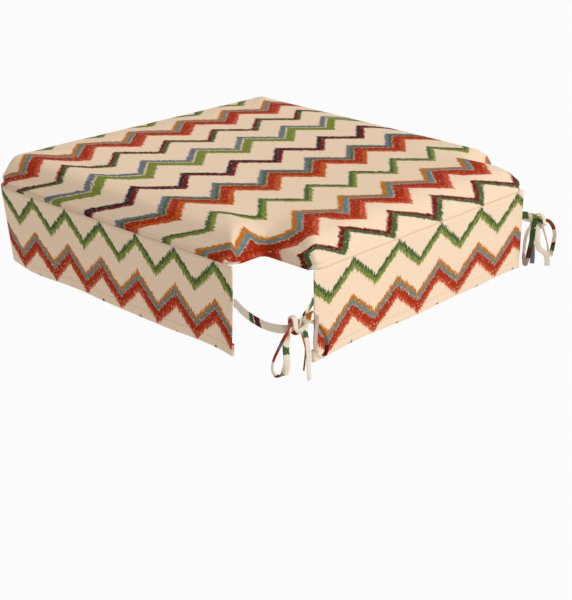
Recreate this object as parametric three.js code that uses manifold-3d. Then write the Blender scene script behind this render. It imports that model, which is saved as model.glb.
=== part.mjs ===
// Seat pad for a dining chair with two rear posts. A crowned foam pad sits on the chair's seat, a skirt hangs
// from its seam and a separate rear flap hangs between the two post notches. Four tapes, one at each slit
// edge, are tied in a bow behind each post. Millimetres, +Z up, front at -Y, origin under the middle of the pad.
import * as THREE from "three";
import { mergeVertices } from "three/addons/utils/BufferGeometryUtils.js";
import Module from "manifold-3d";

const wasm = await Module();
wasm.setup();

// ---- driving dimensions ----
const padWidth = 375;
const padDepth = 388;
const frontCorner = 20;      // radius of the two front corners
const notchWidth = 37;       // room for a post, across the chair
const notchDepth = 57;       // room for a post, along the chair
const notchCorner = 6;
const notchCornerMost = 30;   // the inner corner opens no wider than this further up the crown
const rollHeight = 27;       // how high the rolled edge climbs above the seam
const rollInset = 26;        // how far in the rolled edge reaches
const crownRise = 3;         // extra height in the middle of the top
const crownInset = 100;
const skirtDrop = 80;
const cloth = 1.2;           // thickness of the cloth with its backing
const hemWidth = 10;
const hemThickness = 2.4;    // cloth folded on itself
const tapeWidth = 7.5;
const tapeThickness = 1.2;
const gap = 0.4;             // clearance between sewn neighbours
const rightKnotShift = 13;   // the right bow is knotted this much nearer the middle

const sideX = padWidth / 2;
const rearY = padDepth / 2;
const notchX = sideX - notchWidth;
const notchY = rearY - notchDepth;

// ---- materials: woven cloth, plain lining and foam ----
function clothMaterial(color) {
  return new THREE.MeshStandardMaterial({ color, roughness: 0.92, metalness: 0 });
}

function named(name, geometry, color) {
  const mesh = new THREE.Mesh(geometry, clothMaterial(color));
  mesh.name = name;
  return mesh;
}

// ---- boolean joins and cuts ----
function solid(geometry) {
  const bare = geometry.clone();
  bare.deleteAttribute("normal");
  bare.deleteAttribute("uv");
  const merged = mergeVertices(bare, 1e-4);
  const vertProperties = new Float32Array(merged.attributes.position.array);
  const triVerts = new Uint32Array(merged.index.array);
  return new wasm.Manifold(new wasm.Mesh({ numProp: 3, vertProperties, triVerts }));
}

function geometryOf(manifold) {
  const { vertProperties, triVerts } = manifold.getMesh();
  const geometry = new THREE.BufferGeometry();
  geometry.setAttribute("position", new THREE.BufferAttribute(new Float32Array(vertProperties), 3));
  geometry.setIndex(new THREE.BufferAttribute(new Uint32Array(triVerts), 1));
  geometry.computeVertexNormals();
  return geometry;
}

function box(low, high) {
  const size = high.map((value, i) => value - low[i]);
  const geometry = new THREE.BoxGeometry(...size);
  geometry.translate(...low.map((value, i) => value + size[i] / 2));
  return geometry;
}

// ---- outline of the pad, seen from above ----
// A corner is an arc of `steps` chords from angle `from` through `sweep` about (cx, cy).
function arc(cx, cy, radius, from, sweep, steps) {
  return Array.from({ length: steps + 1 }, (_, i) => {
    const angle = from + (sweep * i) / steps;
    return new THREE.Vector2(cx + radius * Math.cos(angle), cy + radius * Math.sin(angle));
  });
}

// The right half of the outline, from the front's middle to the rear's middle, drawn `inset` inside the seam.
function rightHalf(inset) {
  const quarter = Math.PI / 2;
  const front = Math.max(frontCorner - inset, 0.5);
  const outer = Math.max(notchCorner - inset, 0.5);
  const inner = Math.min(notchCorner + inset, notchCornerMost);
  const [x, y] = [sideX - inset, rearY - inset];
  const [nx, ny] = [notchX - inset, notchY - inset];
  return [
    ...arc(x - front, -y + front, front, -quarter, quarter, 6),
    ...arc(x - outer, ny - outer, outer, 0, quarter, 3),
    ...arc(nx + inner, ny + inner, inner, -quarter, -quarter, 4),
    ...arc(nx - outer, y - outer, outer, 0, quarter, 3),
  ];
}

function outline(inset) {
  const right = rightHalf(inset);
  const left = right.map((point) => new THREE.Vector2(-point.x, point.y)).reverse();
  return [...right, ...left];
}

// A closed solid through rings of equal count: each level is { inset, z }, from the bottom up.
function loft(levels) {
  const rings = levels.map(({ inset, z }) => outline(inset).map((p) => [p.x, p.y, z]));
  const count = rings[0].length;
  const faces = THREE.ShapeUtils.triangulateShape(outline(levels[0].inset), []);
  const index = faces.flatMap(([a, b, c]) => [a, c, b]);
  for (let level = 0; level + 1 < rings.length; level += 1) {
    for (let i = 0; i < count; i += 1) {
      const a = level * count + i;
      const b = level * count + ((i + 1) % count);
      index.push(a, b, b + count, a, b + count, a + count);
    }
  }
  const top = (rings.length - 1) * count;
  const lid = THREE.ShapeUtils.triangulateShape(outline(levels.at(-1).inset), []);
  index.push(...lid.flat().map((i) => i + top));
  const geometry = new THREE.BufferGeometry();
  geometry.setAttribute("position", new THREE.Float32BufferAttribute(rings.flat(2), 3));
  geometry.setIndex(index);
  return geometry;
}

// The crowned pad, `shrink` inside the cover's outer face: a quarter-round edge, then a slow rise to the middle.
function crownedPad(shrink, base) {
  const steps = 6;
  const levels = [{ inset: shrink, z: base }];
  for (let i = 1; i <= steps; i += 1) {
    const angle = (i / steps) * (Math.PI / 2);
    const inset = rollInset * (1 - Math.cos(angle)) + shrink * Math.cos(angle);
    levels.push({ inset, z: (rollHeight - shrink) * Math.sin(angle) });
  }
  levels.push({ inset: rollInset + crownInset * 0.35, z: rollHeight + crownRise * 0.7 - shrink });
  levels.push({ inset: rollInset + crownInset, z: rollHeight + crownRise - shrink });
  return loft(levels);
}

// ---- padded top ----
function topPanel() {
  const outer = solid(crownedPad(0, 0));
  const inner = solid(crownedPad(cloth, -1));
  return geometryOf(outer.subtract(inner));
}

function liningPanel() {
  const inset = cloth + gap;
  return loft([{ inset, z: 0 }, { inset, z: cloth }]);
}

function foamCore() {
  return crownedPad(cloth + gap, cloth + gap);
}

// ---- skirt: one strip round the left side, the front and the right side ----
function stripPath(inset, end) {
  const quarter = Math.PI / 2;
  const radius = frontCorner - inset;
  const [x, y] = [sideX - inset, rearY - inset];
  return [
    new THREE.Vector2(-x, end),
    ...arc(-x + radius, -y + radius, radius, -2 * quarter, quarter, 8),
    ...arc(x - radius, -y + radius, radius, -quarter, quarter, 8),
    new THREE.Vector2(x, end),
  ];
}

function strip(thickness, low, high) {
  const shape = new THREE.Shape([...stripPath(0, notchY), ...stripPath(thickness, notchY).reverse()]);
  const geometry = new THREE.ExtrudeGeometry(shape, { depth: high - low, bevelEnabled: false });
  geometry.translate(0, 0, low);
  return geometry;
}

function skirtStrip() {
  let body = solid(strip(cloth, -skirtDrop, -gap));
  body = body.add(solid(strip(hemThickness, -skirtDrop, -skirtDrop + hemWidth)));
  for (const side of [-1, 1]) {
    const x = [side * sideX, side * (sideX - hemThickness)].sort((a, b) => a - b);
    body = body.add(solid(box([x[0], notchY - hemWidth, -skirtDrop], [x[1], notchY, -gap])));
  }
  return geometryOf(body);
}

// ---- rear flap between the two slits ----
function rearFlap() {
  const x = notchX - gap;
  const [outer, inner, fold] = [rearY, rearY - cloth, rearY - hemThickness];
  let body = solid(box([-x, inner, -skirtDrop], [x, outer, -gap]));
  body = body.add(solid(box([-x, fold, -skirtDrop], [x, outer, -skirtDrop + hemWidth])));
  for (const side of [-1, 1]) {
    const edge = [side * x, side * (x - hemWidth)].sort((a, b) => a - b);
    body = body.add(solid(box([edge[0], fold, -skirtDrop], [edge[1], outer, -gap])));
  }
  return geometryOf(body);
}

// ---- ties: flat tapes along their routes ----
// A route's row is x, y, z of the tape's middle, the direction of its width, and how much of the width is spread.
const sideTieOnPost = [
  [186.3, 137.8, -32, 0, 0, 1, 1],
  [186.4, 140.4, -32.3, 0, 0, 1, 1],
  [186.6, 147, -35.6, 0, 0, 1, 1],
  [186.6, 156, -38.8, 0, 0, 1, 1],
  [186.6, 164.5, -40.6, 0, 0, 1, 1],
  [186.6, 172.5, -41.4, 0, 0, 1, 1],
  [186.6, 180.5, -41.2, 0, 0, 1, 1],
  [186.6, 187.5, -40.2, 0, 0, 1, 1],
  [186.5, 192.3, -39.2, 0, 0, 1, 1],
  [185.4, 195.8, -38.4, 0, 0, 1, 0.95],
];

const sideTieIntoKnot = [
  [182.2, 196.9, -37.2, 0, 0, 1, 0.7],
  [177, 196.9, -36.3, 0, 0, 1, 0.7],
  [173.9, 197.3, -35.7, 0, 0, 1, 0.7],
  [172.9, 198.2, -35.5, 0, 0, 1, 0.7],
  [173.9, 199.1, -35.5, 0, 0, 1, 0.7],
  [177, 199.2, -35.5, 0, 0, 1, 0.7],
  [182, 199.4, -35.5, 0, 0, 1, 0.7],
];

const sideTieLeftBow = [
  [187.4, 201.2, -36, 0.2, 0.4, 0.9, 0.72],
  [193.2, 203.4, -37.8, 0.5, 0.8, 0.3, 0.8],
  [199.4, 204.6, -42.6, 0.5, 0.87, 0, 0.6],
  [205.4, 205.2, -48.6, 0.5, 0.87, 0, 0.5],
  [210.2, 205.4, -55, 0.5, 0.87, 0, 0.45],
  [211.4, 205.4, -61.8, 0.4, 0.9, 0.1, 0.5],
  [208.4, 205, -67.4, 0.1, 0.9, 0.4, 0.65],
  [203, 204.6, -71.2, -0.2, 0.8, 0.55, 0.8],
  [197.2, 204.4, -71.4, -0.5, 0.8, 0.3, 0.85],
  [193.8, 204.2, -66.6, -0.85, 0.5, 0, 0.85],
  [193.4, 204.2, -59.4, -1, 0.1, 0, 0.85],
  [194.6, 204.2, -51.4, -1, 0.1, 0, 0.85],
  [193.8, 203.9, -43.6, -0.9, 0.4, 0.3, 0.77],
  [188.4, 202.6, -37.6, -0.2, 0.2, 0.95, 0.75],
  [182, 201.4, -35.7, 0, 0, 1, 0.7],
  [177, 201.2, -36.2, 0, 0, 1, 0.7],
  [172.8, 201, -39.4, 0.7, 0, 0.7, 0.65],
  [171, 200.6, -44.8, 1, 0.1, 0, 0.6],
  [168.6, 200.2, -52.6, 0.85, 0.52, 0, 0.68],
  [166.8, 200, -60.6, 0.73, 0.68, 0, 0.75],
  [167.2, 200, -68.4, 0.73, 0.68, 0, 0.75],
  [168.8, 200, -78.8, 0.73, 0.68, 0, 0.75],
];

const rearTieExit = [
  [150.7, 193, -25.8, 0, 0, 1, 1],
  [152.5, 193.8, -26, 0, 0.1, 1, 1],
  [155.2, 195.6, -26.4, 0, 0.2, 1, 1],
];

const rearTieAcrossPost = [
  [160.6, 198.4, -26.8, 0.2, 0.3, 0.9, 0.95],
  [167.4, 201.4, -27.4, 0.4, 0.4, 0.8, 0.85],
];

const rearTieRoundKnot = [
  [173.4, 203.6, -29, 0.6, 0.2, 0.7, 0.75],
  [176.6, 204.6, -31.9, 0.85, 0, 0.5, 0.7],
  [177.6, 204.7, -36.3, 1, 0, 0, 0.7],
  [177.8, 204, -40.7, 1, 0, 0, 0.7],
  [178, 201.4, -43.4, 1, 0, 0, 0.7],
  [178.3, 198, -43.3, 1, 0, 0, 0.7],
  [178.7, 195.1, -40.4, 1, 0, 0, 0.7],
  [179.4, 195, -35.3, 1, 0, 0, 0.7],
  [180.2, 195.4, -30.3, 1, 0, 0, 0.7],
  [181.4, 198, -27.9, 1, 0, 0, 0.7],
  [182.8, 202, -27.6, 1, 0, 0, 0.7],
  [183.9, 204.6, -30.1, 1, 0, 0, 0.7],
  [184.2, 205.4, -34.3, 1, 0, 0, 0.7],
];

const rearTieLeftBow = [
  [183, 206.6, -37.9, 0.7, 0.1, 0.7, 0.75],
  [179.2, 207.6, -36.9, 0.2, 0.2, 0.95, 0.8],
  [176.2, 208.2, -31.9, -0.5, 0.3, 0.8, 0.85],
  [173.2, 208.6, -27, -0.6, 0.5, 0.6, 0.9],
  [168.6, 208.8, -24.6, 0, 0.9, 0.4, 0.5],
  [164.2, 209, -28, 0.8, -0.4, 0.4, 0.5],
  [163.8, 209.2, -36.6, 0.97, -0.25, 0, 0.5],
  [165.4, 209.4, -46, 0.97, -0.25, 0, 0.5],
  [166, 210, -55.6, 0.97, -0.25, 0, 0.5],
  [165, 211.6, -63.4, 0.7, -0.72, 0.1, 0.5],
  [160.6, 212.6, -66.4, 0.3, -0.9, 0.2, 0.5],
  [156, 212.6, -63.2, 0.1, -1, 0, 0.5],
  [154.6, 212.2, -56, 0.1, -1, 0, 0.5],
  [155.8, 211, -47.6, 0.1, -1, 0, 0.5],
  [159.2, 208.2, -40.4, 0.1, -0.9, -0.3, 0.45],
  [164.6, 205.6, -35.8, 0.2, -0.5, -0.85, 0.38],
  [170, 204.6, -34.6, 0.7, 0, -0.7, 0.56],
  [173.2, 205.4, -38.6, 1, -0.2, -0.2, 0.56],
  [173, 206.2, -46, 0.97, -0.25, 0, 0.56],
  [171.4, 206.6, -55, 0.97, -0.1, 0, 0.63],
  [170.8, 206.8, -65, 0.97, 0.1, 0, 0.7],
  [170.2, 206.8, -75, 0.97, 0.2, 0, 0.7],
  [169.6, 206.8, -85, 0.97, 0.2, 0, 0.7],
];

const sideTieRightBow = [
  [-173.4, 201, -35.8, -0.1, 0.3, 0.95, 0.6],
  [-178.2, 203.2, -35.6, -0.3, 0.75, 0.6, 0.72],
  [-184.2, 204.4, -38.8, -0.2, 0.95, 0.3, 0.6],
  [-190.6, 204.6, -46, -0.1, 0.99, 0, 0.6],
  [-194.2, 204.6, -54, 0, 1, 0, 0.6],
  [-192.8, 204.6, -62.4, 0, 1, 0, 0.6],
  [-191, 204.6, -69.8, 0, 1, 0, 0.6],
  [-189.2, 204.6, -75.4, 0, 1, 0.2, 0.6],
  [-186, 204.6, -72.4, 0.1, 1, 0, 0.6],
  [-183.6, 204.6, -65.2, 0.6, 0.8, 0, 0.6],
  [-180.4, 204.2, -56.8, 0.68, 0.73, 0, 0.6],
  [-177.6, 203, -48.4, 0.6, 0.7, 0.3, 0.51],
  [-174.4, 201.8, -41, 0.4, 0.3, 0.85, 0.42],
  [-170, 201.3, -36.4, 0, 0, 1, 0.42],
  [-164.6, 201.2, -36, 0, 0, 1, 0.42],
  [-159.9, 199.8, -39.2, -0.7, 0, 0.7, 0.3],
  [-159.4, 198.6, -45, -1, 0.1, 0, 0.27],
  [-161, 198.8, -52.6, -0.8, 0.6, 0, 0.48],
  [-163.4, 199.4, -60, -0.7, 0.7, 0, 0.6],
  [-163.6, 200, -68.6, -0.68, 0.73, 0, 0.6],
  [-163.8, 200, -77.2, -0.68, 0.73, 0, 0.6],
];

const rearTieRightBow = [
  [-170.2, 206.6, -37.7, -0.7, 0.1, 0.7, 0.68],
  [-166.6, 207.4, -38.3, -0.2, 0.2, 0.95, 0.68],
  [-163.4, 207.2, -33.7, 0.5, 0.3, 0.8, 0.72],
  [-160.8, 206.2, -29.4, 0.5, 0.5, 0.65, 0.59],
  [-157.8, 205, -28.8, 0, 0.8, 0.55, 0.65],
  [-156.6, 203.6, -33.4, -0.5, 0.85, 0, 0.65],
  [-157, 202.6, -40.6, -0.6, 0.8, 0, 0.65],
  [-157.6, 202, -48, -0.6, 0.8, 0, 0.65],
  [-156.8, 201.4, -56, -0.6, 0.8, 0, 0.65],
  [-155.4, 200.8, -64, -0.4, 0.9, 0, 0.65],
  [-154.2, 199.8, -72, -0.2, 0.95, 0, 0.59],
  [-153.6, 198.4, -77, 0, 1, 0.3, 0.52],
  [-153.4, 196.6, -72.6, 0, 1, 0, 0.45],
  [-153.6, 196.2, -64, 0, 1, 0, 0.45],
  [-154, 196.2, -54, -0.1, 1, 0.1, 0.45],
  [-154.4, 197.4, -45, -0.1, 0.8, 0.5, 0.45],
  [-155.2, 200, -38, -0.4, 0.4, 0.85, 0.45],
  [-158, 203.4, -36.6, -0.6, 0.5, 0.6, 0.52],
  [-158.2, 207, -38.4, -0.9, 0.3, 0.3, 0.6],
  [-155.6, 209.2, -43.4, -0.75, 0.66, 0.1, 0.68],
  [-154.2, 210, -50, -0.7, 0.66, 0.3, 0.75],
  [-157.6, 210.2, -57, -0.4, 0.5, 0.8, 0.75],
  [-164.4, 210.2, -62, -0.4, 0.5, 0.8, 0.75],
  [-171, 210.2, -67, -0.7, 0.6, 0.5, 0.75],
  [-174.6, 210.2, -73, -0.75, 0.66, 0.1, 0.75],
  [-175.4, 210.2, -80, -0.75, 0.66, 0, 0.75],
];

// A route mirrored to the right, moved `shift` towards the middle.
function mirrored(route, shift = 0) {
  return route.map(([x, y, z, wx, ...rest]) => [shift - x, y, z, -wx, ...rest]);
}

const leftSideTie = [...sideTieOnPost, ...sideTieIntoKnot, ...sideTieLeftBow];
const leftRearTie = [...rearTieExit, ...rearTieAcrossPost, ...rearTieRoundKnot, ...rearTieLeftBow];
const rightSideTie = [...mirrored(sideTieOnPost), ...mirrored(sideTieIntoKnot, rightKnotShift)];
const rightRearTie = [...mirrored(rearTieExit), ...mirrored(rearTieRoundKnot, rightKnotShift)];

function tape(route) {
  const chordLength = 3;
  const points = route.map(([x, y, z]) => new THREE.Vector3(x, y, z));
  const curve = new THREE.CatmullRomCurve3(points, false, "centripetal");
  const stations = [0];
  for (let i = 1; i < points.length; i += 1) {
    const steps = Math.max(2, Math.ceil(points[i].distanceTo(points[i - 1]) / chordLength));
    for (let k = 1; k <= steps; k += 1) stations.push(i - 1 + k / steps);
  }
  const last = stations.length - 1;
  const geometry = new THREE.BoxGeometry(1, tapeWidth, tapeThickness, last, 1, 1);
  const position = geometry.attributes.position;
  for (let v = 0; v < position.count; v += 1) {
    const station = stations[Math.round((position.getX(v) + 0.5) * last)];
    const row = Math.min(Math.floor(station), route.length - 2);
    const blend = (value) => route[row][value] + (route[row + 1][value] - route[row][value]) * (station - row);
    const t = station / (route.length - 1);
    const along = curve.getTangent(t);
    const across = new THREE.Vector3(blend(3), blend(4), blend(5));
    across.addScaledVector(along, -across.dot(along)).normalize();
    const normal = new THREE.Vector3().crossVectors(along, across);
    const place = curve.getPoint(t);
    place.addScaledVector(across, position.getY(v) * blend(6));
    place.addScaledVector(normal, position.getZ(v));
    position.setXYZ(v, place.x, place.y, place.z);
  }
  return geometry;
}

// ---- assembly ----
const cream = 0xe6d3ba;
const seatPad = new THREE.Group();
seatPad.add(
  named("foam_core", foamCore(), 0xe9dfae),
  named("top_panel", topPanel(), cream),
  named("lining_panel", liningPanel(), 0xe9e4d8),
  named("skirt_strip", skirtStrip(), cream),
  named("rear_flap", rearFlap(), cream),
  named("tie_left_side", tape(leftSideTie), 0xd9c8b2),
  named("tie_left_rear", tape(leftRearTie), 0xd9c8b2),
  named("tie_right_side", tape([...rightSideTie, ...sideTieRightBow]), 0xd9c8b2),
  named("tie_right_rear", tape([...rightRearTie, ...rearTieRightBow]), 0xd9c8b2),
);

export default seatPad;
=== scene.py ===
# %% [markdown]
# # A skirted seat pad for a dining chair
# The pad is a crowned block of foam in a cover of zigzag cloth. A skirt hangs from the cover's seam on
# three sides, a separate flap hangs at the rear between two post notches, and four cloth ties are knotted
# in bows behind the chair's posts. The solid model gives every size and place, and this file gives the
# looks. Metres, +Z up, the front edge at -Y.

# %% Load the frame
import math

import bmesh
import bpy
from mathutils import Matrix, Vector


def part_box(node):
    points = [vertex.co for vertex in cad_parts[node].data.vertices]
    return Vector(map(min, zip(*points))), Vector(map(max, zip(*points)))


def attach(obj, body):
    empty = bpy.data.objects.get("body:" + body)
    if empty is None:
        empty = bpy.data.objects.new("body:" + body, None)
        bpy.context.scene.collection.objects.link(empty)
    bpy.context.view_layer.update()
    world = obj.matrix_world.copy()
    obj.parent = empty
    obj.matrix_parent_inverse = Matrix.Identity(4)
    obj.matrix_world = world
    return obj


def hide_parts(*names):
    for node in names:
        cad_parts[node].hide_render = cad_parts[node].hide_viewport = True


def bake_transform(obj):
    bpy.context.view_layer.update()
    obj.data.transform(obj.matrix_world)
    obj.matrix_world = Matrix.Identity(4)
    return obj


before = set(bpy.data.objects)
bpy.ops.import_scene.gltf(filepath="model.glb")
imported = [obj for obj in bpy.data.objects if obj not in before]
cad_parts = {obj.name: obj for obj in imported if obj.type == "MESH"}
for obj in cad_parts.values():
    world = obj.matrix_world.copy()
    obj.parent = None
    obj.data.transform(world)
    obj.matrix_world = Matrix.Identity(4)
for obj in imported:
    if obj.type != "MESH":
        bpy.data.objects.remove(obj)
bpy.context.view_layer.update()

# %% [markdown]
# ## Sizes
# The pad's outline, the seam's height, the notches and the hem come from the boxes of the solid model's
# nodes, so that nothing here has to be fitted. Only what the boxes can't say, such as a corner's radius, is
# a value.

# %% Driving sizes
MM = 0.001
pad_low, pad_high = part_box("top_panel")
skirt_low, skirt_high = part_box("skirt_strip")
side_x, rear_y, front_y = pad_high.x, pad_high.y, pad_low.y
hem_z, skirt_top = skirt_low.z, skirt_high.z
notch_y = skirt_high.y
flap_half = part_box("rear_flap")[1].x
notch_x = flap_half + 0.4 * MM                # a small gap keeps flap and notch apart
front_corner, notch_corner = 20 * MM, 6 * MM  # radii of the rounded corners
roll_inset, roll_height = 26 * MM, 27 * MM    # the rolled edge above the seam
cloth = 1.2 * MM
hem = 10 * MM
period = 60 * MM                              # the zigzag's period on the top and the flap
print("pad", side_x * 2, "x", rear_y * 2, "hem at", hem_z)

# %% [markdown]
# ## Camera
# The view is from behind the pad's left rear corner, a little above the seat. The lens is a long
# one, so the pad's edges run almost parallel.

# %% Camera
VIEW_AZIMUTH, VIEW_ELEVATION, VIEW_DISTANCE = math.radians(46.8), math.radians(22.25), 1.02
aim = Vector((side_x + 21.8 * MM, rear_y + 24.1 * MM, 0))
sight = Vector((
    math.cos(VIEW_ELEVATION) * math.sin(VIEW_AZIMUTH),
    math.cos(VIEW_ELEVATION) * math.cos(VIEW_AZIMUTH),
    math.sin(VIEW_ELEVATION),
))
camera_data = bpy.data.cameras.new("rear_corner_view")
camera_data.lens = 80
camera_data.sensor_width = 36
camera_data.clip_start = 0.05
camera = bpy.data.objects.new("rear_corner_view", camera_data)
camera.location = aim + sight * VIEW_DISTANCE
camera.rotation_euler = sight.to_track_quat("Z", "Y").to_euler()
bpy.context.collection.objects.link(camera)
bpy.context.scene.camera = camera
print("camera at", [round(x, 3) for x in camera.location])

# %% [markdown]
# ## Shader maths
# A finish is a network of nodes. Written as sums and products of sockets it stays readable, so one small
# class wraps a socket and overloads the operators, and another adds any node in one call.


# %% Shader helpers
class Socket:
    """An output socket that Python's operators work on."""

    def __init__(self, shader, socket):
        self.shader, self.socket = shader, socket

    def math(self, operation, first, second, clamp=False):
        settings = {"operation": operation, "use_clamp": clamp}
        return self.shader.add("ShaderNodeMath", settings, {0: first, 1: second})

    def __add__(self, other):
        return self.math("ADD", self, other)

    def __radd__(self, other):
        return self.math("ADD", other, self)

    def __sub__(self, other):
        return self.math("SUBTRACT", self, other)

    def __rsub__(self, other):
        return self.math("SUBTRACT", other, self)

    def __mul__(self, other):
        return self.math("MULTIPLY", self, other)

    def __rmul__(self, other):
        return self.math("MULTIPLY", other, self)

    def __truediv__(self, other):
        return self.math("DIVIDE", self, other)

    def __gt__(self, other):
        return self.math("GREATER_THAN", self, other)

    def __lt__(self, other):
        return self.math("LESS_THAN", self, other)

    def __and__(self, other):
        return self.math("MINIMUM", self, other)

    def clamped(self):
        return self.math("ADD", self, 0, clamp=True)


class Finish:
    """A material under construction."""

    def __init__(self, name, roughness=0.9):
        self.material = bpy.data.materials.new(name)
        self.material.use_nodes = True
        self.tree = self.material.node_tree
        self.surface = self.tree.nodes["Principled BSDF"]
        self.surface.inputs["Roughness"].default_value = roughness
        self.surface.inputs["Specular IOR Level"].default_value = 0.06

    def add(self, kind, settings=None, inputs=None, output=0):
        node = self.tree.nodes.new(kind)
        for key, value in (settings or {}).items():
            if key == "stops":
                self.set_stops(node.color_ramp, value)
            else:
                setattr(node, key, value)
        for key, value in (inputs or {}).items():
            self.feed(node.inputs[key], value)
        return Socket(self, node.outputs[output])

    def feed(self, target, value):
        if isinstance(value, Socket):
            self.tree.links.new(value.socket, target)
        else:
            target.default_value = value

    def set_stops(self, ramp, stops):
        ramp.interpolation = "CONSTANT"
        for place, colour in stops[2:]:
            ramp.elements.new(place)
        for element, (place, colour) in zip(ramp.elements, stops):
            element.position = place
        for element, (place, colour) in zip(ramp.elements, stops):
            element.color = colour

    def mix(self, factor, first, second):
        settings = {"data_type": "RGBA"}
        return self.add("ShaderNodeMix", settings, {0: factor, 6: first, 7: second}, 2)

    def noise(self, x, y, z=0.0, detail=2.0, scale=1.0):
        where = self.add("ShaderNodeCombineXYZ", None, {0: x, 1: y, 2: z})
        inputs = {"Vector": where, "Scale": scale, "Detail": detail}
        return self.add("ShaderNodeTexNoise", None, inputs)

    def split(self, vector):
        return [self.add("ShaderNodeSeparateXYZ", None, {0: vector}, axis) for axis in range(3)]

    def ribs(self, along, pitch):
        """A sine wave along a coordinate, one wave for each thread."""
        return self.add("ShaderNodeMath", {"operation": "SINE"}, {0: along * (2 * math.pi / pitch)})

    def bump(self, height, distance, strength=1.0):
        inputs = {"Height": height, "Distance": distance, "Strength": strength}
        self.feed(self.surface.inputs["Normal"], self.add("ShaderNodeBump", None, inputs))

    def colour(self, value):
        self.feed(self.surface.inputs["Base Color"], value)


def paint(red, green, blue, depth=0.85):
    """A display colour, 0 to 255, as the linear colour that a shader takes, `depth` times as light."""
    def linear(value):
        value /= 255
        return depth * (value / 12.92 if value <= 0.04045 else ((value + 0.055) / 1.055) ** 2.4)
    return (linear(red), linear(green), linear(blue), 1.0)


print("shader helpers ready")

# %% [markdown]
# ## Zigzag cloth
# The print imitates threads that were dyed before weaving, so each colour ends a little earlier or
# later on each thread and the zigzag's edges are ragged. The pattern is a height field: a point's place
# along the threads plus a triangle wave across them gives one number, and a colour ramp turns that number
# into the bands of a row. Shifting the number by thread-wide noise makes the ragged edges, so there is no
# image.

# %% Colours of the cloth
CREAM = paint(246, 218, 187)
OCHRE = paint(194, 112, 14)
TEAL = paint(90, 130, 132)
RUST = paint(170, 42, 0)
CORAL = paint(200, 74, 44)
WINE = paint(112, 12, 12)
LEAF = paint(64, 96, 54)
OLIVE = paint(122, 136, 46)
NAVY = paint(42, 34, 50)
SLATE = paint(108, 115, 126)
ORANGE = paint(198, 80, 8)
FLECK = paint(250, 240, 222)

FOUR_WARM = [(0.20, OCHRE), (0.19, TEAL), (0.02, CREAM), (0.40, RUST), (0.19, CORAL)]
FOUR_COOL = [(0.18, SLATE), (0.18, LEAF), (0.04, CREAM), (0.36, RUST), (0.24, ORANGE)]
TWO_WINE = [(0.50, WINE), (0.50, LEAF)]
TWO_NAVY = [(0.48, NAVY), (0.52, WINE)]
TWO_GREEN = [(0.48, LEAF), (0.52, OLIVE)]
TWO_MEADOW = [(0.38, SLATE), (0.06, CREAM), (0.56, OLIVE)]
print("zigzag bands", len(FOUR_WARM), len(TWO_GREEN))


# %% [markdown]
# ## The cloth's finish
# A ramp holds 32 stops at most, so the rows are shared out over several ramps. The flat ground of the cloth
# has a slow slub and a fine rib, as plain cotton has.

# %% Cloth finish
def band_stops(rows, low, high):
    """Ramp stops for rows of (start, end, bands) in metres along the threads, between low and high."""
    stops = [(0.0, CREAM)]
    for start, end, bands in rows:
        place = start
        for share, colour in bands:
            stops.append(((place - low) / (high - low), colour))
            place += share * (end - start)
        stops.append(((end - low) / (high - low), CREAM))
    return stops


def row_colours(finish, level, rows):
    """The colour at `level`, in ramps of a few rows each, because one ramp holds 32 stops at most."""
    result = None
    for first in range(0, len(rows), 4):
        part = rows[first:first + 4]
        low, high = part[0][0] - 5 * MM, part[-1][1] + 5 * MM
        stops = {"stops": band_stops(part, low, high)}
        colours = finish.add("ShaderNodeValToRGB", stops, {"Fac": (level - low) / (high - low)})
        result = colours if result is None else finish.mix(level > low, result, colours)
    return result


def zigzag_finish(name, rows, tip, wave, amplitude, faded=0.0):
    """Cloth whose zigzag has a tip at `tip` across the threads, and rows placed along the threads."""
    finish = Finish(name)
    place = finish.add("ShaderNodeUVMap", {"uv_map": "cloth"})
    across, along, _ = finish.split(place)
    fold = finish.add("ShaderNodeMath", {"operation": "PINGPONG"}, {0: across - tip, 1: wave / 2})
    zigzag = (0.5 - fold * (2 / wave)) * amplitude
    thread = finish.noise(across / (0.9 * MM), along / (9 * MM), detail=1.0)
    drift = finish.noise(across / (5 * MM), along / (12 * MM), 3.0, detail=1.0)
    level = along + zigzag + (thread - 0.5) * (11 * MM) + (drift - 0.5) * (3.0 * MM)
    bands = row_colours(finish, level, rows)
    # Undyed flecks inside the bands, and a slow change in how strongly each thread took the dye.
    fleck = finish.noise(across / (1.1 * MM), along / (3.2 * MM), 7.0, detail=0.0) > 0.735
    bands = finish.mix(fleck * 0.5, bands, FLECK)
    dye = finish.noise(across / (0.8 * MM), along / (22 * MM), 11.0, detail=2.0)
    bands = finish.mix((dye - 0.5).clamped() * 0.2, bands, CREAM)
    slub = finish.noise(across / (30 * MM), along / (0.8 * MM), 17.0, detail=1.0)
    weave = finish.noise(across / (0.55 * MM), along / (0.55 * MM), 23.0, detail=1.0)
    shade = ((slub - 0.62).clamped() * 0.5 + (weave - 0.5).clamped() * 0.35).clamped()
    cloth_colour = finish.mix(shade, bands, paint(150, 128, 100))
    finish.colour(finish.mix(faded, cloth_colour, CREAM) if faded else cloth_colour)
    rib, pick = finish.ribs(across, 0.9 * MM), finish.ribs(along, 0.9 * MM)
    finish.bump(rib * pick * 0.5 + weave * 0.8 + slub * 0.8, 0.12 * MM, 0.55)
    return finish.material


def row(start, end, bands):
    return (start * MM, end * MM, bands)


TOP_ROWS = [
    row(-209.0, -198.0, TWO_GREEN),
    row(-169.5, -139.5, FOUR_WARM),
    row(-114.5, -104.0, TWO_WINE),
    row(-73.5, -49.5, TWO_MEADOW),
    row(-16.5, -4.0, TWO_NAVY),
    row(27.5, 58.0, FOUR_COOL),
    row(89.5, 100.5, TWO_GREEN),
    row(132.5, 167.0, FOUR_WARM),
    row(191.8, 206.0, TWO_WINE),
]
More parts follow.
